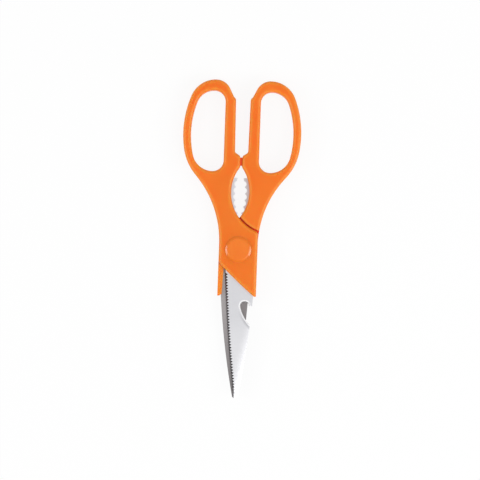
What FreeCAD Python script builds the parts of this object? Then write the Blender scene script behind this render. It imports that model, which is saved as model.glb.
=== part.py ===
import FreeCAD, Part
import math
import os
import re
import Sketcher
from types import SimpleNamespace

# Kitchen shears, lying flat and closed. +Z is up, +Y runs from the pivot to the finger bows.
# The origin is on the pivot axis, in the plane that the shears lie on.
# Front half: left bow, serrated blade on top. Rear half: the same moulding turned over.

doc = FreeCAD.newDocument("kitchen_shears")

# Driving dimensions, in millimetres unless the name says degrees
driving = {
    # heights through the stack
    "handle_thickness": "10",
    "cap_height": "1.2",
    "blade_thickness": "2",
    "blade_gap": "0.1",
    # hub, the part of the handle round the pivot
    "hub_half_width": "13",
    "cover_heel": "7.4",
    "cover_tip": "31.4",
    "tip_land": "1.3",
    "diagonal_radius": "280",
    "diagonal_round": "0.9",
    "cover_corner": "3",
    # finger bow, outer side
    "bow_top": "113.7",
    "bow_half_width": "39.7",
    "crown_drop": "36.1",
    "crown_offset": "18.4",
    "side_radius": "67.1",
    "bow_heel_rise": "14.8",
    "heel_radius": "35.6",
    "flare_start": "3.4",
    # finger bow, grip side
    "grip_drop": "12.7",
    "grip_top_gap": "4.9",
    "grip_low_gap": "4.4",
    "shoulder_length": "6.1",
    "step_rise": "1.5",
    "step_depth": "1.45",
    "gap_rise": "2.4",
    # stop between the handles: a tongue on each, one above the other
    "stop_length": "7.4",
    "stop_gap": "1.2",
    "stop_inset": "1",
    "stop_root": "1",
    "stop_thickness": "3.8",
    "stop_clearance": "0.1",
    # finger hole, placed by the walls round it
    "crown_wall": "7.4",
    "side_wall": "5.25",
    "grip_wall": "7.5",
    "hole_length": "54.2",
    "hole_shift": "0.3",
    "hole_side_radius": "61.9",
    "hole_round": "7.4",
    # nutcracker opening between the handles, and the seam that carries on from it
    "almond_radius": "28",
    "almond_half_width": "6.1",
    "almond_height": "38.7",
    "seam_gap": "1.1",
    "seam_web": "1.3",
    "web_height": "1.55",
    "web_gap": "1.2",
    # rounding of the moulding
    "edge_round": "2.3",
    "corner_extra": "0.2",
    "gap_round": "2",
    "step_round": "3",
    # lip that wraps the spine of the blade
    "lip_top": "10",
    "lip_width_top": "3.8",
    "lip_width_low": "2.8",
    "lip_clearance": "0.15",
    # blades
    "blade_length": "99.2",
    "spine_radius": "550",
    "spine_inset": "1",
    "spine_top": "10",
    "edge_radius": "1000",
    "heel_gap": "0.35",
    "heel_rise": "1.5",
    "tip_width": "2.6",
    "tip_rise": "0.75",
    "front_tip_side": "1.35",
    "rear_tip_side": "-0.6",
    "edge_land": "0.2",
    "front_bevel": "0.55",
    "rear_bevel": "1.9",
    # tang, the part of the blade inside the handle
    "tang_inset": "1.5",
    "tang_cover": "4",
    "tang_rise": "9.4",
    "neck_inset": "2",
    "tang_neck_height": "14",
    "tang_reach": "20",
    "tang_low": "2",
    "tang_high": "5",
    "seam_inset": "1.9",
    "anchor_side": "11.5",
    "anchor_drop": "10",
    "anchor_diameter": "6",
    # serrated edge of the front blade
    "saw_start": "17",
    "saw_pitch": "1.9",
    "saw_end": "2.2",
    "saw_depth_top": "2.05",
    "saw_depth_low": "0.45",
    "saw_cusp": "0.7",
    "saw_mouth": "0.5",
    # nutcracker teeth on the tangs
    "strip_radius": "41.7",
    "strip_show": "2.7",
    "strip_drop": "1.2",
    "strip_reach": "18",
    "valley_drop": "3.9",
    "valley_pitch": "4.42",
    "valley_depth": "1.2",
    "valley_round": "2.05",
    # bottle opener notch in the front blade's spine
    "notch_side": "5.6",
    "notch_height": "37.75",
    "notch_round": "2.95",
    "notch_lip_side": "9.5",
    "notch_lip_drop": "12.85",
    "notch_ramp_radius": "25.4",
    "notch_rim": "0.8",
    "notch_rim_depth": "0.45",
    # pivot
    "pivot_diameter": "6",
    "pivot_clearance": "0.05",
    "screw_head_diameter": "9",
    "screw_head_recess": "0.7",
    "screw_slot_width": "1.2",
    "thread_diameter": "4",
    "thread_recess": "0.25",
    "washer_clearance": "0.1",
    "spring_washer_thickness": "0.3",
    "spring_washer_cone": "0.2",
    "flat_washer_thickness": "0.5",
    "nut_inset": "2",
    "nut_recess": "0.65",
    # caps over the pivot, the same on both sides
    "cap_diameter": "17.5",
    "cap_rim_land": "0.25",
    "cap_rim_width": "1.6",
    "cap_top_round": "2",
    "cap_clearance": "0.18",
    "cap_skirt_wall": "0.8",
    "cap_skirt_rise": "0.75",
    "cap_fit": "0.02",
}

sizes = doc.addObject("Spreadsheet::Sheet", "sizes")
for row, (alias, number) in enumerate(driving.items(), start=1):
    sizes.set("A%d" % row, alias)
    sizes.set("B%d" % row, number)
    sizes.setAlias("B%d" % row, alias)
doc.recompute()
size = SimpleNamespace(**{alias: float(sizes.get(alias)) for alias in driving})

# Heights and radii that several pieces share, as formulas of the sheet
mid_plane = "cap_height + handle_thickness / 2"
blade_inner = mid_plane + " + blade_gap / 2"
blade_outer = blade_inner + " + blade_thickness"
handle_front = "cap_height + handle_thickness"
spring_low = blade_outer + " + washer_clearance"
head_low = spring_low + " + spring_washer_thickness + spring_washer_cone"
head_top = handle_front + " - screw_head_recess"
washer_top = mid_plane + " - blade_gap / 2 - blade_thickness - washer_clearance / 2"
washer_low = washer_top + " - flat_washer_thickness"
nut_low = "cap_height + nut_recess"
cap_hollow = "screw_head_diameter / 2 + cap_clearance"
cap_skirt = cap_hollow + " + cap_skirt_wall"
cap_bore = cap_skirt + " + cap_fit"
corner_round = "edge_round + corner_extra"
cover_below = "-2 * cover_tip"
seam_shoulder = "almond_radius - seam_gap"
hole_low = "bow_top - crown_wall - hole_length"
crown_run = "(crown_offset - grip_top_gap - step_depth)"
crown_fall = "(grip_drop - step_rise)"
crown_span = "%s ^ 2 + %s ^ 2" % (crown_run, crown_fall)
crown_round = "(%s - shoulder_length ^ 2) / (2 * %s)" % (crown_span, crown_fall)
stop_reach = "sqrt(almond_radius ^ 2 - (almond_radius - almond_half_width + stop_gap / 2) ^ 2)"
stop_low = "almond_height + " + stop_reach
tang_top = "min(%s - tang_cover; almond_height + tang_rise)" % hole_low
strip_height = "almond_height - strip_drop"
strip_side = "strip_radius - almond_half_width + strip_show"
tip_round = "(tip_width ^ 2 / 4 + tip_rise ^ 2) / (2 * tip_rise)"
edge_heel = "lip_top - heel_rise"
heel_side = "hub_half_width - lip_width_top - heel_gap"

tiny = 1e-4
wall_share = 0.44
up = FreeCAD.Vector(0, 0, 1)


def in_sheet(formula):
    # every plain word of a formula is a cell of the sheet, unless it is a function's name
    return re.sub(r"\b([a-z_]+)\b(?!\()", r"sizes.\1", formula)


def origin_plane(body, role):
    return next(item for item in body.Origin.OriginFeatures if item.Role == role)


def new_body(label):
    body = doc.addObject("PartDesign::Body", label)
    body.Label = label
    return body


def new_sketch(body, name, height="", role="XY_Plane"):
    sketch = body.newObject("Sketcher::SketchObject", name)
    sketch.AttachmentSupport = [(origin_plane(body, role), "")]
    sketch.MapMode = "FlatFace"
    if height:
        sketch.setExpression("AttachmentOffset.Base.z", in_sheet(height))
    return sketch


def bind(sketch, constraint, formula):
    number = sketch.addConstraint(constraint)
    sketch.setExpression("Constraints[%d]" % number, in_sheet(formula))


def place_x(sketch, geo, end, formula):
    now = sketch.getPoint(geo, end).x
    bind(sketch, Sketcher.Constraint("DistanceX", -1, 1, geo, end, now), formula)


def place_y(sketch, geo, end, formula):
    now = sketch.getPoint(geo, end).y
    bind(sketch, Sketcher.Constraint("DistanceY", -1, 1, geo, end, now), formula)


def set_radius(sketch, geo, formula):
    bind(sketch, Sketcher.Constraint("Radius", geo, sketch.Geometry[geo].Radius), formula)


def vector(spot):
    return FreeCAD.Vector(spot[0], spot[1], 0)


def bearing(centre, spot):
    return math.atan2(spot[1] - centre[1], spot[0] - centre[0])


def add_path(sketch, corners, arcs, smooth=()):
    # a closed path of straight sides; arcs gives some sides a centre and a turn, left or right
    sides = []
    for number, here in enumerate(corners):
        there = corners[(number + 1) % len(corners)]
        if number not in arcs:
            geo = sketch.addGeometry(Part.LineSegment(vector(here), vector(there)), False)
            sides.append((geo, 1, 2))
            continue
        centre, turn = arcs[number]
        first, last = (here, there) if turn == "left" else (there, here)
        begin = bearing(centre, first)
        finish = bearing(centre, last)
        if finish < begin:
            finish += 2 * math.pi
        circle = Part.Circle(vector(centre), up, math.dist(centre, here))
        geo = sketch.addGeometry(Part.ArcOfCircle(circle, begin, finish), False)
        sides.append((geo, 1, 2) if turn == "left" else (geo, 2, 1))
    for number, (geo, start, end) in enumerate(sides):
        next_geo, next_start, next_end = sides[(number + 1) % len(sides)]
        joint = "Tangent" if number in smooth else "Coincident"
        sketch.addConstraint(Sketcher.Constraint(joint, geo, end, next_geo, next_start))
    return sides


def add_polygon(sketch, corners):
    # every corner has a formula for each of its two places
    count = len(corners)
    rough = [(30 + 10 * math.cos(2 * math.pi * k / count), 10 * math.sin(2 * math.pi * k / count))
             for k in range(count)]
    for geo, (side, height) in zip([side[0] for side in add_path(sketch, rough, {})], corners):
        place_x(sketch, geo, 1, side)
        place_y(sketch, geo, 1, height)


def tangent_quarter(side_radius, across, along):
    # radius of the arc that turns a side of side_radius square, across and along from the widest point
    return (2 * side_radius * across - across ** 2 - along ** 2) / (2 * (side_radius - along))


def beyond(centre, spot, radius):
    # the point at that radius from centre, on the ray through spot
    far = radius / math.dist(centre, spot)
    return (centre[0] + (spot[0] - centre[0]) * far, centre[1] + (spot[1] - centre[1]) * far)


def crossing(first, first_radius, second, second_radius, side):
    # where two circles cross, to the left (1) or right (-1) of the way from first to second
    gap = math.dist(first, second)
    along = (first_radius ** 2 - second_radius ** 2 + gap ** 2) / (2 * gap)
    off = side * math.sqrt(first_radius ** 2 - along ** 2)
    way = ((second[0] - first[0]) / gap, (second[1] - first[1]) / gap)
    return (first[0] + along * way[0] - off * way[1], first[1] + along * way[1] + off * way[0])


def arc_centre(here, there, radius, side):
    return crossing(here, radius, there, radius, side)


def edge_names(feature, test):
    return ["Edge%d" % (number + 1) for number, edge in enumerate(feature.Shape.Edges) if test(edge)]


def upright_at(spots):
    # picks the edges along Z that stand on one of the spots
    def test(edge):
        box = edge.BoundBox
        if box.ZLength < tiny or box.XLength > tiny or box.YLength > tiny:
            return False
        return any(math.dist((box.XMin, box.YMin), spot) < 0.01 for spot in spots)
    return test


def level_at(heights):
    # picks the edges that lie flat at one of the heights
    def test(edge):
        box = edge.BoundBox
        return box.ZLength < tiny and any(abs(box.ZMin - height) < tiny for height in heights)
    return test


def has_radius(edge, radius):
    return abs(getattr(edge.Curve, "Radius", 0) - radius) < tiny


def pad(body, sketch, length):
    feature = body.newObject("PartDesign::Pad", sketch.Name + "_pad")
    feature.Profile = sketch
    feature.setExpression("Length", in_sheet(length))
    doc.recompute()
    return feature


def pocket(body, sketch, length, upward=False):
    before = body.Shape.Volume
    feature = body.newObject("PartDesign::Pocket", sketch.Name + "_pocket")
    feature.Profile = sketch
    feature.Reversed = upward
    feature.setExpression("Length", in_sheet(length))
    doc.recompute()
    if body.Shape.Volume > before - tiny:
        raise RuntimeError(feature.Name + " cuts nothing")
    return feature


def revolve(body, sketch):
    feature = body.newObject("PartDesign::Revolution", sketch.Name + "_turn")
    feature.Profile = sketch
    feature.ReferenceAxis = (sketch, ["V_Axis"])
    feature.Angle = 360
    doc.recompute()
    return feature


def rounded(body, base, name, edges, radius):
    feature = body.newObject("PartDesign::Fillet", name)
    feature.Base = (base, edges)
    feature.setExpression("Radius", in_sheet(radius))
    doc.recompute()
    return feature


def repeat_round(body, original, name, axis_sketch, count, pitch, radius):
    # repeats a cut along an arc about the origin of its sketch
    feature = body.newObject("PartDesign::PolarPattern", name)
    feature.Originals = [original]
    feature.Axis = (axis_sketch, ["N_Axis"])
    feature.setExpression("Occurrences", in_sheet(count))
    steps = "(%s - 1) * %s / %s" % (count, pitch, radius)
    feature.setExpression("Angle", in_sheet("%s * %f" % (steps, math.degrees(1))))
    body.Tip = feature
    doc.recompute()
    return feature


def turn_over(body):
    # the rear half is the front half turned over about the Y axis, in the middle of the stack
    body.Placement = FreeCAD.Placement(FreeCAD.Vector(), FreeCAD.Rotation(FreeCAD.Vector(0, 1, 0), 180))
    body.setExpression("Placement.Base.z", in_sheet("2 * (%s)" % mid_plane))
    doc.recompute()


# Handle moulding: bow and arm through the full thickness, and a cover over the blade at the hub


def handle_outline(sketch):
    hub = size.hub_half_width
    widest = size.bow_top - size.crown_drop
    side_centre = (size.side_radius - size.bow_half_width, widest)
    heel_height = size.bow_top - size.crown_wall - size.hole_length + size.bow_heel_rise
    heel_run = math.sqrt(size.side_radius ** 2 - (widest - heel_height) ** 2)
    heel_end = (side_centre[0] - heel_run, heel_height)
    heel_centre = beyond(heel_end, side_centre, size.heel_radius)
    run = hub + heel_centre[0]
    rise = heel_centre[1] - size.flare_start
    flare_radius = (rise ** 2 + run ** 2 - size.heel_radius ** 2) / (2 * (size.heel_radius - run))
    flare_centre = (-hub - flare_radius, size.flare_start)
    flare_end = beyond(flare_centre, heel_centre, flare_radius)
    crown = (-size.crown_offset, size.bow_top)
    across = size.bow_half_width - size.crown_offset
    outer_round = tangent_quarter(size.side_radius, across, size.crown_drop)
    outer_centre = (crown[0], crown[1] - outer_round)
    side_end = beyond(side_centre, outer_centre, size.side_radius)
    grip_top = (-size.grip_top_gap, size.bow_top - size.grip_drop)
    step_top = (grip_top[0] - size.step_depth, grip_top[1] + size.step_rise)
    drop = crown[1] - step_top[1]
    inner_round = (math.dist(crown, step_top) ** 2 - size.shoulder_length ** 2) / (2 * drop)
    inner_centre = (crown[0], crown[1] - inner_round)
    shoulder_top = crossing(inner_centre, inner_round, step_top, size.shoulder_length, 1)
    almond_centre = (size.almond_radius - size.almond_half_width, size.almond_height)
    stop_side = -size.stop_gap / 2
    stop_run = math.sqrt(size.almond_radius ** 2 - (almond_centre[0] - stop_side) ** 2)
    stop_end = (stop_side, almond_centre[1] + stop_run)
    gap_floor = (stop_side, stop_end[1] + size.stop_length)
    gap_corner = (-size.grip_low_gap, gap_floor[1] + size.gap_rise)
    seam_run = math.sqrt(size.almond_radius ** 2 - (almond_centre[0] - hub) ** 2)
    seam_end = (hub, almond_centre[1] - seam_run)
    below = -2 * size.cover_tip
    corners = [(-hub, below), (-hub, flare_centre[1]), flare_end, heel_end, side_end, crown, shoulder_top,
               step_top, grip_top, gap_corner, gap_floor, stop_end, seam_end, (hub, below)]
    arcs = {1: (flare_centre, "left"), 2: (heel_centre, "right"), 3: (side_centre, "right"),
            4: (outer_centre, "right"), 5: (inner_centre, "right"), 11: (almond_centre, "left")}
    sides = add_path(sketch, corners, arcs, smooth=(0, 1, 2, 3, 4, 5))
    hub_side, flare, heel, side, outer, inner = sides[:6]
    step, grip, floor, stop, almond, seam_side, end = sides[7:]
    sketch.addConstraint(Sketcher.Constraint("Vertical", hub_side[0]))
    place_x(sketch, hub_side[0], 1, "-hub_half_width")
    place_y(sketch, hub_side[0], 1, cover_below)
    place_y(sketch, flare[0], flare[1], "flare_start")
    set_radius(sketch, heel[0], "heel_radius")
    set_radius(sketch, side[0], "side_radius")
    place_x(sketch, side[0], 3, "side_radius - bow_half_width")
    place_y(sketch, side[0], 3, "bow_top - crown_drop")
    place_y(sketch, heel[0], heel[2], hole_low + " + bow_heel_rise")
    sketch.addConstraint(Sketcher.Constraint("Vertical", outer[0], 3, outer[0], outer[2]))
    place_x(sketch, inner[0], inner[1], "-crown_offset")
    place_y(sketch, inner[0], inner[1], "bow_top")
    set_radius(sketch, inner[0], crown_round)
    place_x(sketch, step[0], 1, "-grip_top_gap - step_depth")
    place_y(sketch, step[0], 1, "bow_top - grip_drop + step_rise")
    place_x(sketch, grip[0], 1, "-grip_top_gap")
    place_y(sketch, grip[0], 1, "bow_top - grip_drop")
    place_x(sketch, floor[0], 1, "-grip_low_gap")
    bind(sketch, Sketcher.Constraint("DistanceY", floor[0], 2, floor[0], 1, size.gap_rise), "gap_rise")
    place_x(sketch, stop[0], 1, "-stop_gap / 2")
    bind(sketch, Sketcher.Constraint("DistanceY", stop[0], 2, stop[0], 1, size.stop_length), "stop_length")
    sketch.addConstraint(Sketcher.Constraint("Vertical", stop[0]))
    set_radius(sketch, almond[0], "almond_radius")
    place_x(sketch, almond[0], 3, "almond_radius - almond_half_width")
    place_y(sketch, almond[0], 3, "almond_height")
    sketch.addConstraint(Sketcher.Constraint("Vertical", seam_side[0]))
    place_x(sketch, seam_side[0], 1, "hub_half_width")
    sketch.addConstraint(Sketcher.Constraint("Horizontal", end[0]))
    return {"convex": [grip_top, gap_floor, stop_end], "seam": [seam_end], "gap": [gap_corner],
            "step": [step_top]}


def finger_hole(sketch):
    grip = -(size.grip_low_gap + size.grip_wall)
    turn = grip - size.hole_round
    top = size.bow_top - size.crown_wall
    low = top - size.hole_length
    outermost = size.bow_half_width - size.side_wall
    widest = size.bow_top - size.crown_drop - size.hole_shift
    side_centre = (size.hole_side_radius - outermost, widest)
    across = outermost + turn
    top_round = tangent_quarter(size.hole_side_radius, across, top - widest)
    low_round = tangent_quarter(size.hole_side_radius, across, widest - low)
    top_centre = (turn, top - top_round)
    low_centre = (turn, low + low_round)
    corners = [(grip, top - size.hole_round), (grip, low + size.hole_round), (turn, low),
               beyond(side_centre, low_centre, size.hole_side_radius),
               beyond(side_centre, top_centre, size.hole_side_radius), (turn, top)]
    arcs = {1: ((turn, low + size.hole_round), "right"), 2: (low_centre, "right"),
            3: (side_centre, "right"), 4: (top_centre, "right"),
            5: ((turn, top - size.hole_round), "right")}
    sides = add_path(sketch, corners, arcs, smooth=(0, 1, 2, 3, 4, 5))
    inside, low_turn, low_arc, side, top_arc, top_turn = sides
    sketch.addConstraint(Sketcher.Constraint("Vertical", inside[0]))
    place_x(sketch, inside[0], 1, "-grip_low_gap - grip_wall")
    set_radius(sketch, low_turn[0], "hole_round")
    set_radius(sketch, top_turn[0], "hole_round")
    set_radius(sketch, side[0], "hole_side_radius")
    place_x(sketch, side[0], 3, "hole_side_radius - bow_half_width + side_wall")
    place_y(sketch, side[0], 3, "bow_top - crown_drop - hole_shift")
    place_y(sketch, top_turn[0], top_turn[1], "bow_top - crown_wall")
    place_y(sketch, low_turn[0], low_turn[2], hole_low)
    sketch.addConstraint(Sketcher.Constraint("Vertical", low_arc[0], 3, low_arc[0], low_arc[1]))
    sketch.addConstraint(Sketcher.Constraint("Vertical", top_arc[0], 3, top_arc[0], top_arc[2]))


def hub_clearance(sketch, web):
    # what the other half of the shears fills at the hub, bounded by the shoulder along the seam,
    # or by the web that stands out from the shoulder under the tang
    centre = (size.almond_half_width - size.almond_radius, size.almond_height)
    radius = size.almond_radius - size.seam_gap + (size.seam_web if web else 0)
    shoulder_low = (centre[0], centre[1] - radius)
    far_side = 2 * size.hub_half_width
    below = 2 * size.cover_tip
    end_side = -size.web_gap / 2
    shoulder_end = (end_side, centre[1] - math.sqrt(radius ** 2 - (end_side - centre[0]) ** 2))
    lip_side = size.hub_half_width - size.lip_width_top
    lip_low = size.hub_half_width - size.lip_width_low
    corners = [shoulder_low, shoulder_end, (end_side, centre[1]), (far_side, centre[1]),
               (far_side, -size.lip_top), (lip_side, -size.lip_top), (lip_low, -size.cover_tip),
               (lip_low, -below), (centre[0], -below)]
    sides = add_path(sketch, corners, {0: (centre, "left")})
    set_radius(sketch, sides[0][0], seam_shoulder + " + seam_web" if web else seam_shoulder)
    place_x(sketch, sides[0][0], 3, "almond_half_width - almond_radius")
    place_y(sketch, sides[0][0], 3, "almond_height")
    place_x(sketch, sides[0][0], 1, "almond_half_width - almond_radius")
    place_x(sketch, sides[1][0], 1, "-web_gap / 2")
    sketch.addConstraint(Sketcher.Constraint("Vertical", sides[1][0]))
    place_y(sketch, sides[2][0], 1, "almond_height")
    sketch.addConstraint(Sketcher.Constraint("Horizontal", sides[2][0]))
    place_x(sketch, sides[3][0], 1, "2 * hub_half_width")
    sketch.addConstraint(Sketcher.Constraint("Vertical", sides[3][0]))
    sketch.addConstraint(Sketcher.Constraint("Horizontal", sides[4][0]))
    place_x(sketch, sides[5][0], 1, "hub_half_width - lip_width_top")
    place_y(sketch, sides[5][0], 1, "-lip_top")
    place_x(sketch, sides[6][0], 1, "hub_half_width - lip_width_low")
    place_y(sketch, sides[6][0], 1, "-cover_tip")
    sketch.addConstraint(Sketcher.Constraint("Vertical", sides[6][0]))
    sketch.addConstraint(Sketcher.Constraint("Horizontal", sides[7][0]))
    place_y(sketch, sides[8][0], 1, cover_below)
    sketch.addConstraint(Sketcher.Constraint("Vertical", sides[8][0]))


def cover_end(sketch):
    # the cover stops on a slow arc across the blade, with a short blunt land at its tip
    hub = size.hub_half_width
    heel = (-hub - size.tip_land, -size.cover_heel)
    tip = (hub - size.tip_land, -size.cover_tip)
    far_side = 2 * hub
    below = -3 * size.cover_tip
    corners = [heel, tip, (far_side, tip[1]), (far_side, below), (heel[0], below)]
    sides = add_path(sketch, corners, {0: (arc_centre(heel, tip, size.diagonal_radius, 1), "left")})
    diagonal, land, far, low, near = sides
    set_radius(sketch, diagonal[0], "diagonal_radius")
    place_x(sketch, diagonal[0], 1, "-hub_half_width - tip_land")
    place_y(sketch, diagonal[0], 1, "-cover_heel")
    place_x(sketch, land[0], 1, "hub_half_width - tip_land")
    place_y(sketch, land[0], 1, "-cover_tip")
    sketch.addConstraint(Sketcher.Constraint("Horizontal", land[0]))
    place_x(sketch, far[0], 1, "2 * hub_half_width")
    sketch.addConstraint(Sketcher.Constraint("Vertical", far[0]))
    place_y(sketch, low[0], 1, "-3 * cover_tip")
    sketch.addConstraint(Sketcher.Constraint("Horizontal", low[0]))
    sketch.addConstraint(Sketcher.Constraint("Vertical", near[0]))


def make_moulding(name):
    body = new_body(name)
    outline = new_sketch(body, name + "_outline", "cap_height")
    corners = handle_outline(outline)
    finger_hole(outline)
    base = pad(body, outline, "handle_thickness")
    hole, rim = sorted(outline.Shape.Wires, key=lambda wire: wire.Length)
    wall = hole.distToShape(rim)[0]
    for group, radius in (("convex", corner_round), ("seam", "cover_corner"),
                          ("gap", "gap_round"), ("step", "step_round")):
        names = edge_names(base, upright_at(corners[group]))
        base = rounded(body, base, name + "_" + group, names, radius)
    front = size.cap_height + size.handle_thickness
    level = level_at((size.cap_height, front))

    def outer(edge):
        return level(edge) and edge.BoundBox.YMax > tiny - 2 * size.cover_tip

    # both edges of the thinnest wall leave a flat strip between them
    rounded(body, base, name + "_edges", edge_names(base, outer), "min(edge_round; %f)" % (wall * wall_share))
    tongue = new_sketch(body, name + "_stop", mid_plane + " + stop_clearance / 2")
    root = "-stop_gap / 2 - stop_root"
    tip = "stop_gap / 2 - stop_clearance"
    low = stop_low + " + stop_inset"
    high = stop_low + " + stop_length - stop_inset"
    add_polygon(tongue, [(root, low), (tip, low), (tip, high), (root, high)])
    pad(body, tongue, "stop_thickness")
    deep = new_sketch(body, name + "_clearance", "cap_height")
    hub_clearance(deep, web=True)
    pocket(body, deep, blade_outer + " - cap_height", upward=True)
    shallow = new_sketch(body, name + "_web", "cap_height")
    hub_clearance(shallow, web=False)
    pocket(body, shallow, blade_inner + " - cap_height - web_height", upward=True)
    lip = new_sketch(body, name + "_lip", "cap_height")
    add_polygon(lip, [("0", "-lip_top"), ("2 * hub_half_width", "-lip_top"),
                      ("2 * hub_half_width", cover_below), ("0", cover_below)])
    pocket(body, lip, "handle_thickness / 2 - blade_gap / 2 - blade_thickness + lip_clearance", upward=True)
    bore = new_sketch(body, name + "_bore", "cap_height")
    circle = bore.addGeometry(Part.Circle(FreeCAD.Vector(), up, size.screw_head_diameter), False)
    bore.addConstraint(Sketcher.Constraint("Coincident", circle, 3, -1, 1))
    set_radius(bore, circle, cap_bore)
    pocket(body, bore, "handle_thickness", upward=True)
    end = new_sketch(body, name + "_end", "cap_height")
    cover_end(end)
    base = pocket(body, end, "handle_thickness", upward=True)

    def slanting(edge):
        return level_at([front])(edge) and has_radius(edge, size.diagonal_radius)

    # its slanting edge is broken at 45 degrees
    feature = body.newObject("PartDesign::Chamfer", name + "_end_edge")
    feature.Base = (base, edge_names(base, slanting))
    feature.setExpression("Size", in_sheet("diagonal_round"))
    doc.recompute()
    return body


# Blades: one stamping each, with the tang, the nutcracker teeth and the pivot hole


def blade_outline(sketch, half):
    tip_side = getattr(size, half + "_tip_side")
    hub = size.hub_half_width - size.tang_inset
    neck = size.hub_half_width - size.neck_inset
    spine_side = size.hub_half_width - size.spine_inset
    hole_low_now = size.bow_top - size.crown_wall - size.hole_length
    tang_top_now = min(hole_low_now - size.tang_cover, size.almond_height + size.tang_rise)
    seam_centre = (size.almond_radius - size.almond_half_width, size.almond_height)
    seam_radius = size.almond_radius + size.seam_inset
    strip_centre = (size.strip_radius - size.almond_half_width + size.strip_show,
                    size.almond_height - size.strip_drop)
    strip_run = math.sqrt(size.strip_radius ** 2 - (tang_top_now - strip_centre[1]) ** 2)
    edge_top = (size.lip_width_top + size.heel_gap - size.hub_half_width, size.heel_rise - size.lip_top)
    tip_edge = (tip_side - size.tip_width / 2, -size.blade_length)
    tip_spine = (tip_side + size.tip_width / 2, -size.blade_length)
    tip_round_now = (size.tip_width ** 2 / 4 + size.tip_rise ** 2) / (2 * size.tip_rise)
    spine_top = (spine_side, -size.spine_top)
    seam_run = math.sqrt(seam_radius ** 2 - (seam_centre[0] - spine_side) ** 2)
    corners = [edge_top, (-hub, -size.tang_low), (-hub, size.tang_high), (-neck, size.tang_neck_height),
               (-size.tang_reach, tang_top_now), (strip_centre[0] - strip_run, tang_top_now),
               crossing(strip_centre, size.strip_radius, seam_centre, seam_radius, 1),
               (spine_side, seam_centre[1] - seam_run), spine_top, tip_spine, tip_edge]
    arcs = {5: (strip_centre, "left"), 6: (seam_centre, "left"),
            8: (arc_centre(spine_top, tip_spine, size.spine_radius, -1), "right"),
            9: (arc_centre(tip_spine, tip_edge, tip_round_now, -1), "right"),
            10: (arc_centre(tip_edge, edge_top, size.edge_radius, -1), "right")}
    sides = add_path(sketch, corners, arcs)
    heel, hub_side, neck_side, arm, top, strip, seam, hub_spine, spine, tip, edge = sides
    place_x(sketch, heel[0], 1, "-(%s)" % heel_side)
    place_y(sketch, heel[0], 1, "-(%s)" % edge_heel)
    place_x(sketch, hub_side[0], 1, "tang_inset - hub_half_width")
    place_y(sketch, hub_side[0], 1, "-tang_low")
    sketch.addConstraint(Sketcher.Constraint("Vertical", hub_side[0]))
    place_y(sketch, neck_side[0], 1, "tang_high")
    place_x(sketch, arm[0], 1, "neck_inset - hub_half_width")
    place_y(sketch, arm[0], 1, "tang_neck_height")
    place_x(sketch, top[0], 1, "-tang_reach")
    place_y(sketch, top[0], 1, tang_top)
    sketch.addConstraint(Sketcher.Constraint("Horizontal", top[0]))
    set_radius(sketch, strip[0], "strip_radius")
    place_x(sketch, strip[0], 3, strip_side)
    place_y(sketch, strip[0], 3, strip_height)
    set_radius(sketch, seam[0], "almond_radius + seam_inset")
    place_x(sketch, seam[0], 3, "almond_radius - almond_half_width")
    place_y(sketch, seam[0], 3, "almond_height")
    sketch.addConstraint(Sketcher.Constraint("Vertical", hub_spine[0]))
    place_x(sketch, hub_spine[0], 2, "hub_half_width - spine_inset")
    place_y(sketch, hub_spine[0], 2, "-spine_top")
    set_radius(sketch, spine[0], "spine_radius")
    place_x(sketch, tip[0], tip[1], half + "_tip_side + tip_width / 2")
    place_y(sketch, tip[0], tip[1], "-blade_length")
    set_radius(sketch, tip[0], tip_round)
    place_x(sketch, tip[0], tip[2], half + "_tip_side - tip_width / 2")
    place_y(sketch, tip[0], tip[2], "-blade_length")
    set_radius(sketch, edge[0], "edge_radius")


def grind_edge(body, base, half):
    # the cutting edge is ground on the outer face, down to a narrow land
    top = size.cap_height + size.handle_thickness / 2 + size.blade_gap / 2 + size.blade_thickness

    def cutting(edge):
        return level_at([top])(edge) and has_radius(edge, size.edge_radius)

    feature = body.newObject("PartDesign::Chamfer", body.Name + "_bevel")
    feature.Base = (base, edge_names(base, cutting))
    feature.ChamferType = "Two distances"
    feature.FlipDirection = True
    feature.setExpression("Size", in_sheet(half + "_bevel"))
    feature.setExpression("Size2", in_sheet("blade_thickness - edge_land"))
    doc.recompute()
    return feature


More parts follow.
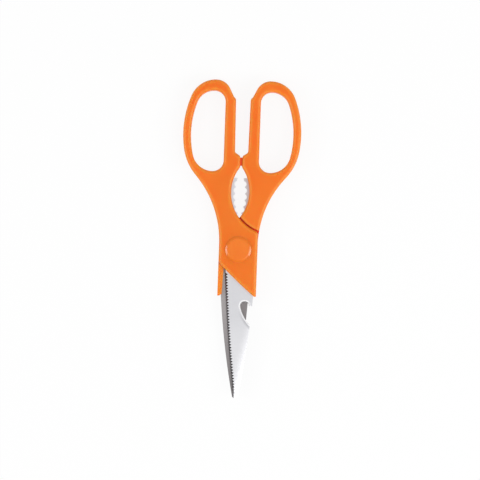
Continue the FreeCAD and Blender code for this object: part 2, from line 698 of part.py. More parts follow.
def serrate(body):
    # V grooves across the bevel, deeper at the outer face, repeated along the arc of the edge
    run = "(front_tip_side - tip_width / 2 + %s)" % heel_side
    drop = "(blade_length - (%s))" % edge_heel
    chord = "sqrt(%s ^ 2 + %s ^ 2)" % (run, drop)
    reach = "sqrt(edge_radius ^ 2 / %s ^ 2 - 0.25)" % chord
    centre_side = "%s / 2 - (%s) + %s * %s" % (run, heel_side, reach, drop)
    centre_height = "%s * %s - %s / 2 - (%s)" % (reach, run, drop, edge_heel)
    triangles = []
    levels = {"saw_depth_top": blade_outer, "saw_depth_low": blade_inner}
    for depth, height in levels.items():
        sketch = new_sketch(body, depth + "_section", height)
        sketch.setExpression("AttachmentOffset.Base.x", in_sheet(centre_side))
        sketch.setExpression("AttachmentOffset.Base.y", in_sheet(centre_height))
        turn = "asin((saw_start + %s) / edge_radius)" % centre_height
        sketch.setExpression("AttachmentOffset.Rotation.Angle", in_sheet(turn))
        half_mouth = "(%s + saw_mouth) * saw_pitch / 2 / (saw_depth_top - saw_cusp)" % depth
        add_polygon(sketch, [(depth + " - edge_radius", "0"),
                             ("-edge_radius - saw_mouth", half_mouth),
                             ("-edge_radius - saw_mouth", "-" + half_mouth)])
        triangles.append(sketch)
    groove = body.newObject("PartDesign::SubtractiveLoft", "saw_groove")
    groove.Profile = triangles[0]
    groove.Sections = [triangles[1]]
    groove.Ruled = True
    doc.recompute()
    count = "(floor((blade_length - saw_start - saw_end) / saw_pitch) + 1)"
    return repeat_round(body, groove, "saw_edge", triangles[0], count, "saw_pitch", "edge_radius")


def cut_strip_teeth(body):
    # scallops along the nutcracker strip, from the top of the tang down
    sketch = new_sketch(body, body.Name + "_valley", blade_inner)
    sketch.setExpression("AttachmentOffset.Base.x", in_sheet(strip_side))
    sketch.setExpression("AttachmentOffset.Base.y", in_sheet(strip_height))
    turn = "asin((%s - %s + valley_drop) / strip_radius)" % (strip_height, tang_top)
    sketch.setExpression("AttachmentOffset.Rotation.Angle", in_sheet(turn))
    out = size.strip_radius + size.valley_depth - size.valley_round
    circle = sketch.addGeometry(Part.Circle(FreeCAD.Vector(-out, 0, 0), up, size.valley_round), False)
    set_radius(sketch, circle, "valley_round")
    place_x(sketch, circle, 3, "valley_round - valley_depth - strip_radius")
    sketch.addConstraint(Sketcher.Constraint("PointOnObject", circle, 3, -1))
    valley = pocket(body, sketch, "blade_thickness", upward=True)
    room = "(%s - valley_drop - almond_height + strip_reach)" % tang_top
    count = "(floor(%s / valley_pitch) + 1)" % room
    return repeat_round(body, valley, body.Name + "_teeth", sketch, count, "valley_pitch", "strip_radius")


def cut_notch(body):
    # round pocket under a hook, with a ramp up to the lip on the spine
    sketch = new_sketch(body, "opener_notch", blade_inner)
    centre = (size.notch_side, -size.notch_height)
    hook = (centre[0] + size.notch_round, centre[1])
    lip = (size.notch_lip_side, centre[1] - size.notch_lip_drop)
    ramp_centre = crossing(lip, size.notch_ramp_radius, centre, size.notch_ramp_radius - size.notch_round, -1)
    touch = beyond(ramp_centre, centre, size.notch_ramp_radius)
    clear = 2 * size.hub_half_width
    corners = [hook, (clear, hook[1]), (clear, lip[1]), lip, touch]
    sides = add_path(sketch, corners, {3: (ramp_centre, "right"), 4: (centre, "right")}, smooth=(3,))
    upper, far, lower, ramp, bowl = sides
    sketch.addConstraint(Sketcher.Constraint("Horizontal", upper[0]))
    sketch.addConstraint(Sketcher.Constraint("Vertical", far[0]))
    sketch.addConstraint(Sketcher.Constraint("Horizontal", lower[0]))
    place_x(sketch, far[0], 1, "2 * hub_half_width")
    place_x(sketch, bowl[0], 3, "notch_side")
    place_y(sketch, bowl[0], 3, "-notch_height")
    set_radius(sketch, bowl[0], "notch_round")
    sketch.addConstraint(Sketcher.Constraint("Horizontal", bowl[0], 3, upper[0], 1))
    place_x(sketch, ramp[0], ramp[1], "notch_lip_side")
    place_y(sketch, ramp[0], ramp[1], "-notch_height - notch_lip_drop")
    set_radius(sketch, ramp[0], "notch_ramp_radius")
    base = pocket(body, sketch, "blade_thickness", upward=True)
    top = size.cap_height + size.handle_thickness / 2 + size.blade_gap / 2 + size.blade_thickness

    def rim(edge):
        curved = has_radius(edge, size.notch_round) or has_radius(edge, size.notch_ramp_radius)
        return curved and level_at([top])(edge)

    feature = body.newObject("PartDesign::Chamfer", "opener_rim")
    feature.Base = (base, edge_names(base, rim))
    feature.ChamferType = "Two distances"
    feature.FlipDirection = True
    feature.setExpression("Size", in_sheet("notch_rim"))
    feature.setExpression("Size2", in_sheet("notch_rim_depth"))
    doc.recompute()
    return feature


def round_hole(body, name, side, height, diameter):
    sketch = new_sketch(body, name, blade_inner)
    circle = sketch.addGeometry(Part.Circle(FreeCAD.Vector(-1, 1, 0), up, 1), False)
    set_radius(sketch, circle, "(%s) / 2" % diameter)
    place_x(sketch, circle, 3, side)
    place_y(sketch, circle, 3, height)
    return pocket(body, sketch, "blade_thickness", upward=True)


def make_blade(half):
    body = new_body(half + "_blade")
    outline = new_sketch(body, half + "_blade_outline", blade_inner)
    blade_outline(outline, half)
    base = pad(body, outline, "blade_thickness")
    grind_edge(body, base, half)
    if half == "front":
        serrate(body)
    cut_strip_teeth(body)
    if half == "front":
        cut_notch(body)
    round_hole(body, half + "_pivot_hole", "0", "0", "pivot_diameter + 2 * pivot_clearance")
    round_hole(body, half + "_anchor_hole", "-anchor_side", tang_top + " - anchor_drop", "anchor_diameter")
    return body


# Pivot: turned pieces, as profiles of radius and height


def make_turned(label, corners):
    body = new_body(label)
    sketch = new_sketch(body, label + "_profile", role="XZ_Plane")
    add_polygon(sketch, corners)
    revolve(body, sketch)
    return body


def make_cap(label):
    skirt_low = blade_outer + " + cap_skirt_rise"
    cap_top = handle_front + " + cap_height"
    body = make_turned(label, [
        ("0", handle_front), (cap_hollow, handle_front), (cap_hollow, skirt_low), (cap_skirt, skirt_low),
        (cap_skirt, handle_front), ("cap_diameter / 2", handle_front),
        ("cap_diameter / 2", handle_front + " + cap_rim_land"),
        ("cap_diameter / 2 - cap_rim_width", cap_top), ("0", cap_top)])
    top = size.cap_height * 2 + size.handle_thickness
    rim = edge_names(body.Tip, level_at([top]))
    rounded(body, body.Tip, label + "_rim", rim, "cap_top_round")
    return body


def make_screw():
    end = "cap_height + thread_recess"
    body = make_turned("pivot_screw", [
        ("0", end), ("thread_diameter / 2", end), ("thread_diameter / 2", washer_top),
        ("pivot_diameter / 2", washer_top), ("pivot_diameter / 2", head_low),
        ("screw_head_diameter / 2", head_low), ("screw_head_diameter / 2", head_top), ("0", head_top)])
    slot = new_sketch(body, "screw_slot", head_top)
    long_side = "screw_head_diameter"
    half_slot = "screw_slot_width / 2"
    add_polygon(slot, [("-" + long_side, "-" + half_slot), (long_side, "-" + half_slot),
                       (long_side, half_slot), ("-" + long_side, half_slot)])
    pocket(body, slot, "(%s - (%s)) / 2" % (head_top, head_low))
    return body


def make_spring_washer():
    # a shallow cone, its rim down on the blade
    inner = "pivot_diameter / 2 + washer_clearance"
    inner_low = spring_low + " + spring_washer_cone"
    return make_turned("spring_washer", [
        (inner, inner_low), ("screw_head_diameter / 2", spring_low),
        ("screw_head_diameter / 2", spring_low + " + spring_washer_thickness"),
        (inner, inner_low + " + spring_washer_thickness")])


def make_flat_washer():
    inner = "thread_diameter / 2 + washer_clearance"
    return make_turned("flat_washer", [
        (inner, washer_low), ("screw_head_diameter / 2", washer_low),
        ("screw_head_diameter / 2", washer_top), (inner, washer_top)])


def make_nut():
    height = "%s - (%s)" % (washer_low, nut_low)
    block = doc.addObject("Part::Prism", "nut_block")
    block.Polygon = 6
    block.setExpression("Circumradius", in_sheet("(screw_head_diameter - nut_inset) / sqrt(3)"))
    thread = doc.addObject("Part::Cylinder", "nut_thread")
    thread.setExpression("Radius", in_sheet("thread_diameter / 2"))
    for solid in (block, thread):
        solid.setExpression("Height", in_sheet(height))
        solid.setExpression("Placement.Base.z", in_sheet(nut_low))
    return cut_away("pivot_nut", block, thread)


def cut_away(label, base, tool):
    cut = doc.addObject("Part::Cut", label)
    cut.Label = label
    cut.Base = base
    cut.Tool = tool
    doc.recompute()
    return cut


# Assembly: each handle is moulded round its own blade's tang

front_blade = make_blade("front")
rear_blade = make_blade("rear")
turn_over(rear_blade)
front_moulding = make_moulding("front_moulding")
rear_moulding = make_moulding("rear_moulding")
turn_over(rear_moulding)
front_cap = make_cap("front_cap")
rear_cap = make_cap("rear_cap")
turn_over(rear_cap)

pieces = [
    front_blade,
    rear_blade,
    cut_away("front_handle", front_moulding, front_blade),
    cut_away("rear_handle", rear_moulding, rear_blade),
    make_screw(),
    make_nut(),
    make_spring_washer(),
    make_flat_washer(),
    front_cap,
    rear_cap,
]
doc.recompute()

failed = [item.Name for item in doc.Objects if "Invalid" in item.State or "Error" in item.State]
if failed:
    raise RuntimeError("not rebuilt: " + ", ".join(failed))
for piece in pieces:
    if piece.Shape.isNull() or not piece.Shape.isValid() or len(piece.Shape.Solids) != 1:
        raise RuntimeError("not one sound solid: " + piece.Label)

os.makedirs("parts", exist_ok=True)
for piece in pieces:
    piece.Shape.exportStep("parts/%s.step" % piece.Label)
    print(piece.Label, "%.1f mm3" % piece.Shape.Volume)
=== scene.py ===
import math

import bpy
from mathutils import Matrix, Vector


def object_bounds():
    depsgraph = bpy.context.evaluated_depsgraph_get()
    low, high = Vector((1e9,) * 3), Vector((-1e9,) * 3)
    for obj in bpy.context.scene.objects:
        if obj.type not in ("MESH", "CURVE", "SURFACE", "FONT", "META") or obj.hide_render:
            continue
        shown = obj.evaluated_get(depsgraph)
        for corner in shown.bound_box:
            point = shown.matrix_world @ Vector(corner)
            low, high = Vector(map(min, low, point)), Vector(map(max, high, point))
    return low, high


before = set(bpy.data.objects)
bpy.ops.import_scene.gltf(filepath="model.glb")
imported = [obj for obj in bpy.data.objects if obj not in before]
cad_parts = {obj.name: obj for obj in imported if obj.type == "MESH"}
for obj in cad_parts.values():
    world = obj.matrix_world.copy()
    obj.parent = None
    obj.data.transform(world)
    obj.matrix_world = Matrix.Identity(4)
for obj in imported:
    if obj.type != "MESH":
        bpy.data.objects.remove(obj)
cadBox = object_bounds()
print("frame loaded:", len(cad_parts), "nodes")


# node helpers, shared by every material

def addNode(tree, kind, **settings):
    node = tree.nodes.new(kind)
    for key, value in settings.items():
        setattr(node, key, value)
    return node


def newMaterial(name):
    material = bpy.data.materials.new(name)
    material.use_nodes = True
    tree = material.node_tree
    tree.nodes.clear()
    output = addNode(tree, "ShaderNodeOutputMaterial")
    shader = addNode(tree, "ShaderNodeBsdfPrincipled")
    tree.links.new(shader.outputs["BSDF"], output.inputs["Surface"])
    return material, tree, shader


def feed(tree, value, socket):
    # links another node's output, or sets a plain number or colour
    if isinstance(value, bpy.types.NodeSocket):
        tree.links.new(value, socket)
    else:
        socket.default_value = value


def calculate(tree, operation, *values):
    node = addNode(tree, "ShaderNodeMath", operation=operation)
    for value, socket in zip(values, node.inputs):
        feed(tree, value, socket)
    return node.outputs["Value"]


def product(tree, *values):
    total = values[0]
    for value in values[1:]:
        total = calculate(tree, "MULTIPLY", total, value)
    return total


def sumOf(tree, terms, base=0.0):
    # base plus each value times its factor
    total = base
    for value, factor in terms:
        total = calculate(tree, "MULTIPLY_ADD", value, factor, total)
    return total


def squareAbove(tree, value):
    # 0 below zero, then the square, for a face that falls away slowly
    above = calculate(tree, "MAXIMUM", value, 0)
    return product(tree, above, above)


def axesOf(tree, vector):
    split = addNode(tree, "ShaderNodeSeparateXYZ")
    tree.links.new(vector, split.inputs["Vector"])
    return split.outputs


def objectPoint(tree, scale=(1, 1, 1)):
    # object coordinates in metres, stretched
    place = addNode(tree, "ShaderNodeTexCoord")
    mapping = addNode(tree, "ShaderNodeMapping")
    mapping.inputs["Scale"].default_value = scale
    tree.links.new(place.outputs["Object"], mapping.inputs["Vector"])
    return mapping.outputs["Vector"]


def noise(tree, point, scale, detail=2.0, roughness=0.5):
    node = addNode(tree, "ShaderNodeTexNoise")
    node.inputs["Scale"].default_value = scale
    node.inputs["Detail"].default_value = detail
    node.inputs["Roughness"].default_value = roughness
    tree.links.new(point, node.inputs["Vector"])
    return node.outputs["Fac"]


def spread(tree, value, low, high, fromLow=0.3, fromHigh=0.7, **settings):
    # maps a value to a range, by default from the middle of a noise
    node = addNode(tree, "ShaderNodeMapRange", **settings)
    tree.links.new(value, node.inputs["Value"])
    node.inputs["From Min"].default_value = fromLow
    node.inputs["From Max"].default_value = fromHigh
    node.inputs["To Min"].default_value = low
    node.inputs["To Max"].default_value = high
    return node.outputs["Result"]


def fade(tree, value, start, end, **settings):
    # 0 up to start, 1 from end on
    return spread(tree, value, 0, 1, start, end, **settings)


def facing(tree, slopes, flip=1):
    # 0 to 1 as the face's upward slope goes from the one to the other
    place = addNode(tree, "ShaderNodeTexCoord")
    upward = axesOf(tree, place.outputs["Normal"])["Z"]
    return fade(tree, calculate(tree, "MULTIPLY", upward, flip), *slopes)


def mixColours(tree, factor, first, second):
    node = addNode(tree, "ShaderNodeMix", data_type="RGBA")
    tree.links.new(factor, node.inputs["Factor"])
    sockets = [socket for socket in node.inputs if socket.type == "RGBA"]
    for colour, socket in zip((first, second), sockets):
        feed(tree, (*colour, 1) if isinstance(colour, tuple) else colour, socket)
    return next(socket for socket in node.outputs if socket.type == "RGBA")


def mixValues(tree, factor, first, second):
    node = addNode(tree, "ShaderNodeMix", data_type="FLOAT")
    tree.links.new(factor, node.inputs["Factor"])
    tree.links.new(first, node.inputs["A"])
    tree.links.new(second, node.inputs["B"])
    return node.outputs["Result"]


def bump(tree, height, strength, distance, below=None):
    node = addNode(tree, "ShaderNodeBump")
    node.inputs["Strength"].default_value = strength
    node.inputs["Distance"].default_value = distance
    tree.links.new(height, node.inputs["Height"])
    if below is not None:
        tree.links.new(below, node.inputs["Normal"])
    return node.outputs["Normal"]


def blendShaders(tree, share, first, second, surface):
    blend = addNode(tree, "ShaderNodeMixShader")
    tree.links.new(share, blend.inputs["Fac"])
    tree.links.new(first, blend.inputs[1])
    tree.links.new(second, blend.inputs[2])
    tree.links.new(blend.outputs["Shader"], surface)


# moulded plastic of the handles and caps

handlePlastic = {
    "colour": (0.89, 0.176, 0.007),
    "paler": (0.91, 0.205, 0.013),
    "paintedEdgeLight": (0.92, 0.285, 0.028),     # rounded edges, paler and yellower: a painted highlight
    "deep": (0.89, 0.068, 0.007),       # painted shade: darker red on level faces in the gaps between the halves
    "roughness": (0.28, 0.38),
    "specular": 0.3,
    "grainScale": 2600,                 # fine spark-eroded mould texture
    "grainDepth": 0.00003,
    "flowScale": 45,                    # slow waves where the plastic cooled
    "flowDepth": 0.00004,
    "inside": 0.5,                      # share of the light that goes into the plastic
}
capPlastic = {
    "colour": (0.94, 0.175, 0.002),
    "paler": (0.96, 0.225, 0.012),
    # the cap's rounded rim is paler too, a painted highlight
    "paintedEdgeLight": (0.94, 0.20, 0.006),
    # darker red in the gaps, a painted shade
    "deep": (0.89, 0.068, 0.007),
    "roughness": (0.13, 0.2),
    "specular": 0.5,
    "grainScale": 1800,
    "grainDepth": 0.000003,
    "flowScale": 60,
    "flowDepth": 0.00003,
    "inside": 0.2,
}
bothPlastics = {
    "ior": 1.5,
    "lightDepth": 0.004,                # metres that light goes in
    "lightByColour": (1.0, 0.15, 0.05),  # red goes deepest
    "flowDetail": 1.5,
    "flowStrength": 0.5,
    "grainDetail": 3.0,
    "grainRoughness": 0.6,
    "grainStrength": 0.35,
    "paintedEdgeLightWidth": 0.0048,              # how far the painted edge highlight reaches from an edge
    "paintedEdgeLightSamples": 8,
    "paintedEdgeLightSlope": (0.9995, 0.88),      # slope of the softened face, from none of the painted highlight to all of it
    "leaningSlope": (0.15, 0.5),        # upright sides lie below it and stay as they are
    "gapBottom": (0.0034, 0.0036),      # a level face above this and below the top lies in a gap
    "gapTop": (0.0106, 0.0104),
    "gapStart": (0.003, 0.004),         # only past the pivot
    "levelSlope": (0.95, 0.98),
}


def roundedEdge(tree):
    # 1 along a rounded edge, 0 on flat faces and upright sides: where the painted edge highlight goes
    soft = addNode(tree, "ShaderNodeBevel", samples=bothPlastics["paintedEdgeLightSamples"])
    soft.inputs["Radius"].default_value = bothPlastics["paintedEdgeLightWidth"]
    slope = calculate(tree, "ABSOLUTE", axesOf(tree, soft.outputs["Normal"])["Z"])
    paintedEdgeLight = fade(tree, slope, *bothPlastics["paintedEdgeLightSlope"], interpolation_type="SMOOTHSTEP")
    return product(tree, paintedEdgeLight, fade(tree, slope, *bothPlastics["leaningSlope"]))


def inGap(tree):
    # 1 on level faces between the two halves
    place = axesOf(tree, objectPoint(tree))
    return product(tree,
                   fade(tree, place["Z"], *bothPlastics["gapBottom"]),
                   fade(tree, place["Z"], *bothPlastics["gapTop"]),
                   fade(tree, place["Y"], *bothPlastics["gapStart"]),
                   facing(tree, bothPlastics["levelSlope"]))


def orangePlastic(name, plastic):
    material, tree, shader = newMaterial(name)
    point = objectPoint(tree)
    flow = noise(tree, point, plastic["flowScale"], bothPlastics["flowDetail"])
    fine = noise(tree, point, plastic["grainScale"],
                 bothPlastics["grainDetail"], bothPlastics["grainRoughness"])
    colour = mixColours(tree, spread(tree, flow, 0, 1), plastic["colour"], plastic["paler"])
    # rounded edges take a paler colour, a painted highlight
    colour = mixColours(tree, roundedEdge(tree), colour, plastic["paintedEdgeLight"])
    # level faces in the gaps take a darker red, a painted shade
    colour = mixColours(tree, inGap(tree), colour, plastic["deep"])
    waves = bump(tree, flow, bothPlastics["flowStrength"], plastic["flowDepth"])
    grain = bump(tree, fine, bothPlastics["grainStrength"], plastic["grainDepth"], waves)
    tree.links.new(colour, shader.inputs["Base Color"])
    tree.links.new(spread(tree, fine, *plastic["roughness"]), shader.inputs["Roughness"])
    tree.links.new(grain, shader.inputs["Normal"])
    shader.inputs["Specular IOR Level"].default_value = plastic["specular"]
    shader.inputs["Subsurface Weight"].default_value = plastic["inside"]
    shader.inputs["Subsurface Radius"].default_value = bothPlastics["lightByColour"]
    shader.inputs["Subsurface Scale"].default_value = bothPlastics["lightDepth"]
    shader.inputs["IOR"].default_value = bothPlastics["ior"]
    return material


# ground stainless steel of the blades, whose tips lie at minus Y

steel = {
    "face": (0.83, 0.83, 0.862),        # outer face by the cover
    "facePaintedBright": (0.94, 0.94, 0.965),    # paler towards the tip: a painted reflection
    "paintedBrightRange": (-0.045, -0.070),
    "paintedBrightShare": 0.8,                 # the rest of that change lies in clouds
    "cloudScale": 60,
    "mating": (0.43, 0.40, 0.402),      # inner faces, coarser and darker from the grinder
    "matingPale": (0.50, 0.472, 0.47),
    "coveredShade": (0.31, 0.288, 0.29),      # painted shade: the middle of the inner faces darker, where the other blade covers it
    "coveredShadeRange": (-0.002, 0.003),
    "tip": (0.22, 0.205, 0.21),         # darker again at the tip
    "tipRange": (-0.042, -0.100),
    "tang": (0.74, 0.715, 0.715),       # inner faces above the pivot, left pale
    "tangRange": (-0.005, 0.005),
    "edge": (0.25, 0.24, 0.245),        # bevels, grooves and sheared sides
    "edgePale": (0.36, 0.35, 0.355),
    "rim": (0.97, 0.97, 0.98),          # painted highlight: the broken edge of the notch and the band along it, bright
    "rimRange": (0, 0.0005),            # only on the spine's side
    "matingSlope": (0.93, 0.97),        # slopes that tell the inner, outer and rim faces apart
    "outerSlope": (0.65, 0.75),
    "rimSlope": (0.25, 0.3),
    "roughness": (0.30, 0.42),
    "edgeRoughness": (0.38, 0.5),
    "rimRoughness": 0.75,
    "grain": (160, 5200, 160),          # lines to the metre, fine along Y as the grinding runs across
    "grainDetail": 4.0,
    "grainRoughness": 0.6,
    "grainStrength": 0.3,
    "grainDepth": 0.000004,
    "crownAt": (0.0078, -0.0538),       # the outer face falls away to the spine past a line through here
    "crownAcross": (0.976, -0.218),     # square to that line, towards the spine
    "crownStart": 0.003,                # how far before the line it begins
    "crownCurve": 28.0,                 # turn of the face for each metre across
    "lengthStart": 0.02,                # from here on it also falls away to the tip
    "lengthCurve": 1.0,
}
# the edge of the opener notch is two arcs, with a painted highlight band along them
notch = {
    "bowl": (0.0056, -0.03775),         # middle of the round end
    "bowlRadius": 0.00295,
    "bowlBand": (0.0012, 0.00084),      # the band fades in between these distances from the edge
    "ramp": (0.02746, -0.03264),        # middle of the long arc below it
    "rampRadius": 0.0254,
    "rampBand": (0.00096, 0.0006),
    "rampRange": (-0.0379, -0.0384),    # where the one arc meets the other
    "rougher": 0.36,                    # added to the roughness of the face
    "shade": (0.62, 0.62, 0.645),       # painted shade: a darker streak beside the ramp
    "shadeBand": (0.0027, 0.0012),
    "shadeRange": (-0.041, -0.049),
}


def bladeCrown(tree, place, side):
    # slow roundness of the ground face, across and along the blade, in metres of height
    across, along = steel["crownAcross"]
    start = steel["crownStart"] - across * steel["crownAt"][0] - along * steel["crownAt"][1]
    off = sumOf(tree, [(place["X"], across * side), (place["Y"], along)], start)
    far = sumOf(tree, [(place["Y"], -1)], -steel["lengthStart"])
    fall = sumOf(tree, [(squareAbove(tree, off), -steel["crownCurve"] / 2),
                        (squareAbove(tree, far), -steel["lengthCurve"] / 2)])
    return bump(tree, fall, strength=1.0, distance=1.0)


def outerColour(tree, place):
    clouds = noise(tree, objectPoint(tree), steel["cloudScale"])
    # paler down the blade as a painted reflection, with some random clouds
    paintedBrightAndClouds = sumOf(tree, [(fade(tree, place["Y"], *steel["paintedBrightRange"]), steel["paintedBrightShare"]),
                         (spread(tree, clouds, 0, 1), 1 - steel["paintedBrightShare"])])
    return mixColours(tree, paintedBrightAndClouds, steel["face"], steel["facePaintedBright"])


def matingColour(tree, place, lines, side):
    colour = mixColours(tree, spread(tree, lines, 0, 1), steel["mating"], steel["matingPale"])
    across = calculate(tree, "MULTIPLY", place["X"], side)
    # the middle is darkened as painted shade, then the tip darker and the tang paler
    for stretch, value in (("coveredShade", across), ("tip", place["Y"]), ("tang", place["Y"])):
        part = fade(tree, value, *steel[stretch + "Range"])
        colour = mixColours(tree, part, colour, steel[stretch])
    return colour


def edgeColour(tree, lines, isRim):
    colour = mixColours(tree, spread(tree, lines, 0, 1), steel["edge"], steel["edgePale"])
    # the notch's rim takes the painted highlight
    return mixColours(tree, isRim, colour, steel["rim"])


def arcBand(tree, arc, band):
    # 1 along one of the notch's arcs, by the distance from it
    off = addNode(tree, "ShaderNodeVectorMath", operation="DISTANCE")
    tree.links.new(objectPoint(tree, (1, 1, 0)), off.inputs[0])
    off.inputs[1].default_value = (*notch[arc], 0)
    start, end = notch[band]
    radius = notch[arc + "Radius"]
    return fade(tree, off.outputs["Value"], radius + start, radius + end)


def notchHighlightBand(tree, place):
    ramp = product(tree, arcBand(tree, "ramp", "rampBand"),
                   fade(tree, place["Y"], *notch["rampRange"]))
    return calculate(tree, "MAXIMUM", arcBand(tree, "bowl", "bowlBand"), ramp)


def notchColour(tree, place, colour, band):
    # the outer face with the painted shade streak and the painted highlight band
    streak = product(tree, arcBand(tree, "ramp", "shadeBand"),
                     fade(tree, place["Y"], *notch["shadeRange"]))
    # the streak beside the ramp is painted shade
    colour = mixColours(tree, streak, colour, notch["shade"])
    return mixColours(tree, band, colour, steel["rim"])


def groundSteel(name, matingSide, hasNotch):
    # matingSide is 1 where the inner face looks up and -1 where it looks down
    material, tree, shader = newMaterial(name)
    place = axesOf(tree, objectPoint(tree))
    lines = noise(tree, objectPoint(tree, steel["grain"]), 1.0,
                  steel["grainDetail"], steel["grainRoughness"])
    isMating = facing(tree, steel["matingSlope"], matingSide)
    isOuter = facing(tree, steel["outerSlope"], -matingSide)
    isRim = product(tree, facing(tree, steel["rimSlope"], -matingSide),
                    fade(tree, place["X"], *steel["rimRange"]))
    outer = outerColour(tree, place)
    rough = spread(tree, lines, *steel["roughness"])
    if hasNotch:
        band = notchHighlightBand(tree, place)
        outer = notchColour(tree, place, outer, band)
        rough = sumOf(tree, [(rough, 1), (band, notch["rougher"])])
    inner = matingColour(tree, place, lines, matingSide)
    colour = mixColours(tree, isMating, edgeColour(tree, lines, isRim), inner)
    edgeRough = spread(tree, lines, *steel["edgeRoughness"])
    edgeRough = sumOf(tree, [(edgeRough, 1), (isRim, steel["rimRoughness"] - steel["edgeRoughness"][1])])
    crown = bladeCrown(tree, place, -matingSide)
    grain = bump(tree, lines, steel["grainStrength"], steel["grainDepth"], crown)
    tree.links.new(mixColours(tree, isOuter, colour, outer), shader.inputs["Base Color"])
    tree.links.new(mixValues(tree, isOuter, edgeRough, rough), shader.inputs["Roughness"])
    tree.links.new(grain, shader.inputs["Normal"])
    shader.inputs["Metallic"].default_value = 1
    return material


# turned steel of the screw, nut and washers

hardware = {
    "colour": (0.52, 0.52, 0.54),
    "pale": (0.66, 0.66, 0.68),
    "roughness": (0.25, 0.4),
    "cloudScale": 400,
    "ringScale": 700,
    "ringWander": 1.5,
    "ringStrength": 0.3,
    "ringDepth": 0.000006,
}


def turnedSteel(name):
    material, tree, shader = newMaterial(name)
    rings = addNode(tree, "ShaderNodeTexWave", wave_type="RINGS", rings_direction="Z")
    rings.inputs["Scale"].default_value = hardware["ringScale"]
    rings.inputs["Distortion"].default_value = hardware["ringWander"]
    tree.links.new(objectPoint(tree), rings.inputs["Vector"])
    clouds = noise(tree, objectPoint(tree), hardware["cloudScale"])
    colour = mixColours(tree, spread(tree, clouds, 0, 1), hardware["colour"], hardware["pale"])
    ridges = bump(tree, rings.outputs["Fac"], hardware["ringStrength"], hardware["ringDepth"])
    tree.links.new(colour, shader.inputs["Base Color"])
    tree.links.new(spread(tree, clouds, *hardware["roughness"]), shader.inputs["Roughness"])
    tree.links.new(ridges, shader.inputs["Normal"])
    shader.inputs["Metallic"].default_value = 1
    return material


# finishes on the frame's own nodes

handleFinish = orangePlastic("handlePlastic", handlePlastic)
capFinish = orangePlastic("capPlastic", capPlastic)
hardwareFinish = turnedSteel("hardwareSteel")
finishes = {
    "front_handle": handleFinish,
    "rear_handle": handleFinish,
    "front_cap": capFinish,
    "rear_cap": capFinish,
    "front_blade": groundSteel("frontBladeSteel", -1, True),
    "rear_blade": groundSteel("rearBladeSteel", 1, False),
    "pivot_screw": hardwareFinish,
    "pivot_nut": hardwareFinish,
    "spring_washer": hardwareFinish,
    "flat_washer": hardwareFinish,
}
for node, material in finishes.items():
    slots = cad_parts[node].data.materials
    slots.clear()
    slots.append(material)
print("finishes set:", len(finishes))


# floor, pale and plain, white where the camera looks at it

floorSet = {
    "size": 6.0,
    "below": 0.0001,                    # clear of the cap that the shears lie on
    "colour": (0.93, 0.93, 0.93),
    "roughness": 0.9,
    "specular": 0.1,
    "glow": 0.9,                        # share of plain white in what the camera sees
}


def makeFloor():
    height = cadBox[0].z - floorSet["below"]
    bpy.ops.mesh.primitive_plane_add(size=floorSet["size"], location=(0, 0, height))
    floor = bpy.context.object
    floor.name = "floor"
    material, tree, shader = newMaterial("paleFloor")
    shader.inputs["Base Color"].default_value = (*floorSet["colour"], 1)
    shader.inputs["Roughness"].default_value = floorSet["roughness"]
    shader.inputs["Specular IOR Level"].default_value = floorSet["specular"]
    glow = addNode(tree, "ShaderNodeEmission")
    path = addNode(tree, "ShaderNodeLightPath").outputs
    mirrored = calculate(tree, "MAXIMUM", path["Is Glossy Ray"], path["Is Transmission Ray"])
    seen = calculate(tree, "MAXIMUM", path["Is Camera Ray"], mirrored)
    share = calculate(tree, "MULTIPLY", seen, floorSet["glow"])
    output = next(node for node in tree.nodes if node.type == "OUTPUT_MATERIAL")
    blendShaders(tree, share, shader.outputs["BSDF"], glow.outputs["Emission"], output.inputs["Surface"])
    floor.data.materials.append(material)


makeFloor()
print("floor made")


# soft studio light: a pale room, two wide lamps above and two low strips for the edges

room = {
    "colour": (0.8, 0.8, 0.8),
    "high": 0.95,                       # strength straight above
    "low": 0.36,                        # strength level with the floor
    "seen": 1.0,                        # strength where the camera looks past the floor
}
wide = (1.2, 0.55)
strip = (1.0, 0.25)
lamps = {
    "keyLamp": {"place": (0.95, -0.6, 1.15), "size": wide, "power": 7.4},
    "fillLamp": {"place": (-1.1, -0.3, 1.1), "size": wide, "power": 2.6},
    "rightStrip": {"place": (1.4, -0.2, 0.8), "size": strip, "power": 4.6},
    "leftStrip": {"place": (-1.4, -0.12, 0.8), "size": strip, "power": 4.6},
}


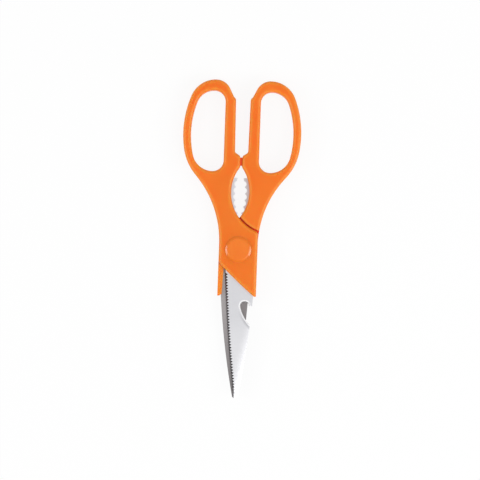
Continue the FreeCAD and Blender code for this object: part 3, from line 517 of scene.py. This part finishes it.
def roomSurface(tree, strength):
    surface = addNode(tree, "ShaderNodeBackground")
    surface.inputs["Color"].default_value = (*room["colour"], 1)
    feed(tree, strength, surface.inputs["Strength"])
    return surface.outputs["Background"]


def makeRoom():
    world = bpy.data.worlds.new("room")
    bpy.context.scene.world = world
    world.use_nodes = True
    tree = world.node_tree
    tree.nodes.clear()
    output = addNode(tree, "ShaderNodeOutputWorld")
    direction = addNode(tree, "ShaderNodeTexCoord")
    upward = axesOf(tree, direction.outputs["Generated"])["Z"]
    walls = roomSurface(tree, spread(tree, upward, room["low"], room["high"], 0, 1))
    path = addNode(tree, "ShaderNodeLightPath").outputs
    seen = roomSurface(tree, room["seen"])
    blendShaders(tree, path["Is Camera Ray"], walls, seen, output.inputs["Surface"])


def makeLamp(name, settings):
    data = bpy.data.lights.new(name, "AREA")
    data.shape = "RECTANGLE"
    data.size, data.size_y = settings["size"]
    data.energy = settings["power"]
    lamp = bpy.data.objects.new(name, data)
    lamp.location = settings["place"]
    lamp.rotation_euler = (-Vector(settings["place"])).to_track_quat("-Z", "Y").to_euler()
    bpy.context.scene.collection.objects.link(lamp)


makeRoom()
for name, settings in lamps.items():
    makeLamp(name, settings)
print("lights set")


# camera straight above, turned as the photograph is

shot = {
    "aim": (0.00099, 0.00641),          # where the middle of the picture falls
    "plane": 0.0112,                    # height that the picture's scale holds at
    "width": 0.3221,                    # what the picture spans there
    "roll": 2.0,                        # degrees
    "distance": 1.7,
    "sensor": 36,                       # millimetres
    "farthest": 20,
}


def makeCamera():
    data = bpy.data.cameras.new("camera")
    data.sensor_width = shot["sensor"]
    data.lens = shot["sensor"] * shot["distance"] / shot["width"]
    data.clip_end = shot["farthest"]
    camera = bpy.data.objects.new("camera", data)
    camera.location = (*shot["aim"], shot["plane"] + shot["distance"])
    camera.rotation_euler = (0, 0, math.radians(shot["roll"]))
    bpy.context.scene.collection.objects.link(camera)
    bpy.context.scene.camera = camera


makeCamera()
bpy.context.scene.view_settings.view_transform = "Standard"
print("camera set")
